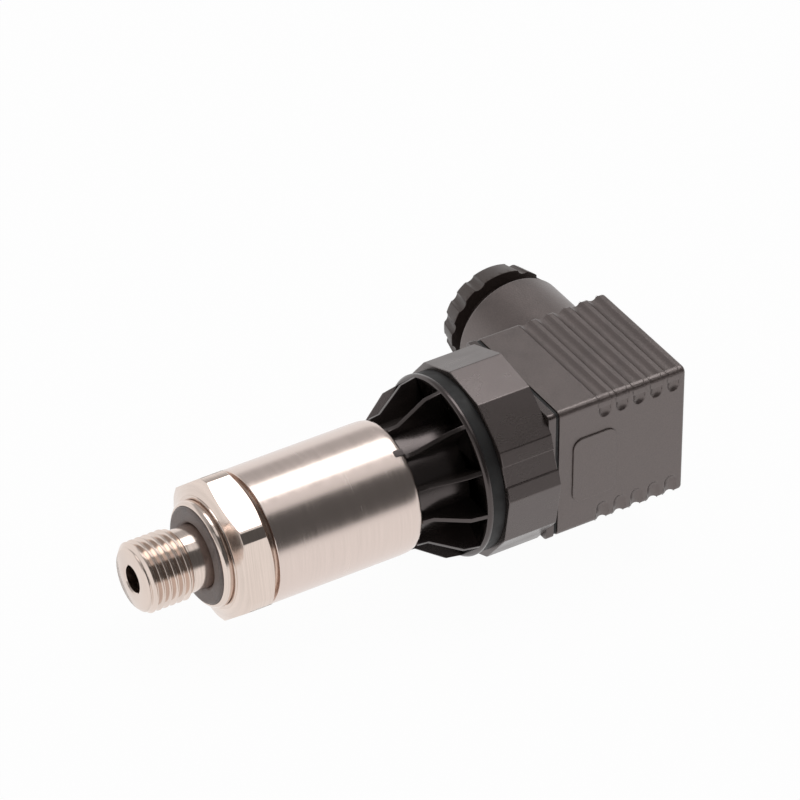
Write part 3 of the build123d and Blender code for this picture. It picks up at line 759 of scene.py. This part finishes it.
class ModelSeals(bpy.types.Operator):
    """Rounds the lips of the port's seal, the flange's seal and the plug's gasket"""
    bl_idname = "transmitter.model_seals"
    bl_label = "Seals"

    def execute(self, context):
        edge = context.scene.transmitter_sizes.seal_edge / mm
        # the port's seal is pressed rounder than the other two
        port_edge = edge * 3
        for node, name, material, width in (
                ("port_seal", "port_seal_ring", "grey_fluoro_rubber", port_edge),
                ("flange_seal", "flange_seal_ring", "moulded_rubber", edge),
                ("plug_gasket", "plug_gasket_lip", "moulded_rubber", edge)):
            ring = lift_copy(node, name)
            soften(ring, width, 3)
            put_in(ring, material, "housing", node)
        return {"FINISHED"}


class FinishSolids(bpy.types.Operator):
    """Gives every solid that stays as it is the finish of the real piece"""
    bl_idname = "transmitter.finish_solids"
    bl_label = "Finishes"

    def execute(self, context):
        for name, (_, _, nodes) in finishes.items():
            for node in nodes:
                solid = frame["nodes"][node].data
                solid.materials.clear()
                solid.materials.append(finish(name))
        return {"FINISHED"}


class SetStage(bpy.types.Operator):
    """Lays the pale floor, hangs the lamps and sets the camera where the photograph was taken"""
    bl_idname = "transmitter.set_stage"
    bl_label = "Stage"

    def execute(self, context):
        stage = context.scene.transmitter_stage
        floor_size, floor_share = 24, 0.97
        deselect()
        bpy.ops.mesh.primitive_plane_add(size=floor_size, location=(0, 0, 0))
        floor = context.object
        floor.name = floor.data.name = "studio_floor"
        bpy.ops.object.mode_set(mode="EDIT")
        bpy.ops.transform.translate(value=(0, 0, cad_box[0].z))
        close_edit()
        material, tree, shader, _ = start_material("white_studio_floor", stage.floor_colour, 0.0, 0.7)
        shader.inputs["Specular IOR Level"].default_value = 0.0
        path = add_node(tree, "ShaderNodeLightPath", {})
        mirrored = add_node(tree, "ShaderNodeMath", {"operation": "MAXIMUM"},
                            {0: path.outputs["Is Glossy Ray"], 1: path.outputs["Is Transmission Ray"]})
        # the camera sees this share of plain white; the rest is the floor's own shade, with the shadow
        seen = add_node(tree, "ShaderNodeMath", {"operation": "MULTIPLY", 1: floor_share},
                        {0: path.outputs["Is Camera Ray"]})
        share = add_node(tree, "ShaderNodeMath", {"operation": "MAXIMUM"},
                         {0: mirrored.outputs[0], 1: seen.outputs[0]})
        white = add_node(tree, "ShaderNodeEmission", {"Color": (1, 1, 1, 1), "Strength": 1.0})
        mixed = add_node(tree, "ShaderNodeMixShader", {}, {0: share.outputs[0], 1: shader.outputs[0],
                                                           2: white.outputs[0]})
        tree.links.new(mixed.outputs[0], tree.nodes["Material Output"].inputs["Surface"])
        floor.data.materials.append(material)

        world = context.scene.world or bpy.data.worlds.new("studio")
        context.scene.world = world
        world.use_nodes = True
        tree = world.node_tree
        place = add_node(tree, "ShaderNodeTexCoord", {})
        split = add_node(tree, "ShaderNodeSeparateXYZ", {}, {0: place.outputs["Generated"]})
        side = add_node(tree, "ShaderNodeMapRange",
                        {"interpolation_type": "SMOOTHSTEP", "From Min": -0.1, "From Max": 0.5,
                         "To Min": 0.10, "To Max": 0.50}, {"Value": split.outputs["Y"]})
        height = add_node(tree, "ShaderNodeMapRange",
                          {"interpolation_type": "SMOOTHSTEP", "From Min": 0.10, "From Max": 0.26,
                           "To Min": 1.0}, {"Value": split.outputs["Z"], "To Max": side.outputs["Result"]})
        back = tree.nodes["Background"]
        tree.links.new(height.outputs[0], back.inputs["Color"])
        back.inputs["Strength"].default_value = 1.0

        aim = Vector((0.04, 0, 0))
        laid = Matrix.Rotation(-math.radians(lean), 4, "Y")
        for name, way, distance, size, power in (
                ("softbox_overhead", (0.36, 0.37, 0.86), 1.3, (0.90, 0.66), stage.softbox_power),
                ("softbox_veil", (0.40, -0.12, 0.91), 1.3, (0.90, 0.44), stage.veil_power),
                ("softbox_front", (-0.78, -0.30, 0.55), 1.2, (0.9, 0.7), stage.fill_power)):
            deselect()
            outward = (laid @ Vector(way)).normalized()
            bpy.ops.object.light_add(type="AREA", location=aim + outward * distance)
            lamp = context.object
            lamp.name = lamp.data.name = name
            lamp.data.shape = "RECTANGLE"
            lamp.data.size, lamp.data.size_y = size
            lamp.data.energy = power
            along = (Vector((1, 0, 0)) - outward * outward.x).normalized()
            lamp.rotation_euler = Matrix((along, outward.cross(along), outward)).transposed().to_euler()

        deselect()
        bpy.ops.object.camera_add()
        camera = context.object
        # where the photograph was taken from, for the part on its level axis
        place = Vector((-0.4407309, -0.6615678, 0.8010584))
        turned = Euler([math.radians(angle) for angle in (46.12852, -4.74752, -31.4111)])
        camera.matrix_world = laid @ Matrix.LocRotScale(place, turned, None)
        camera.name = camera.data.name = "photograph_camera"
        camera.data.lens = 293.6566
        camera.data.sensor_width = 36
        camera.data.clip_start, camera.data.clip_end = 0.05, 60
        context.scene.camera = camera
        context.scene.view_settings.view_transform = "Standard"
        return {"FINISHED"}


class TransmitterPanel(bpy.types.Panel):
    """Lists the transmitter's pieces and what can be changed"""
    bl_idname = "VIEW3D_PT_transmitter"
    bl_label = "Pressure transmitter"
    bl_space_type = "VIEW_3D"
    bl_region_type = "UI"
    bl_category = "Transmitter"

    def draw(self, context):
        for group in (context.scene.transmitter_sizes, context.scene.transmitter_colours,
                      context.scene.transmitter_stage):
            for name in group.__annotations__:
                self.layout.prop(group, name)
        for operator in operators:
            self.layout.operator(operator.bl_idname)


operators = (FinishSolids, ModelFitting, ModelTube, SoftenMouldings, ModelPlug, ModelSeals, SetStage)
groups = (TransmitterColours, TransmitterSizes, StageSettings)


def register():
    """Makes the pieces, their sizes and the panel known to Blender."""
    for item in (*groups, *operators, TransmitterPanel):
        bpy.utils.register_class(item)
    bpy.types.Scene.transmitter_colours = bpy.props.PointerProperty(type=TransmitterColours)
    bpy.types.Scene.transmitter_sizes = bpy.props.PointerProperty(type=TransmitterSizes)
    bpy.types.Scene.transmitter_stage = bpy.props.PointerProperty(type=StageSettings)


def unregister():
    """Takes them out again."""
    del bpy.types.Scene.transmitter_stage
    del bpy.types.Scene.transmitter_sizes
    del bpy.types.Scene.transmitter_colours
    for item in reversed((*groups, *operators, TransmitterPanel)):
        bpy.utils.unregister_class(item)


def main():
    """Makes every piece in turn."""
    register()
    for operator in operators:
        group, name = operator.bl_idname.split(".")
        getattr(getattr(bpy.ops, group), name)()


if __name__ == "__main__":
    main()
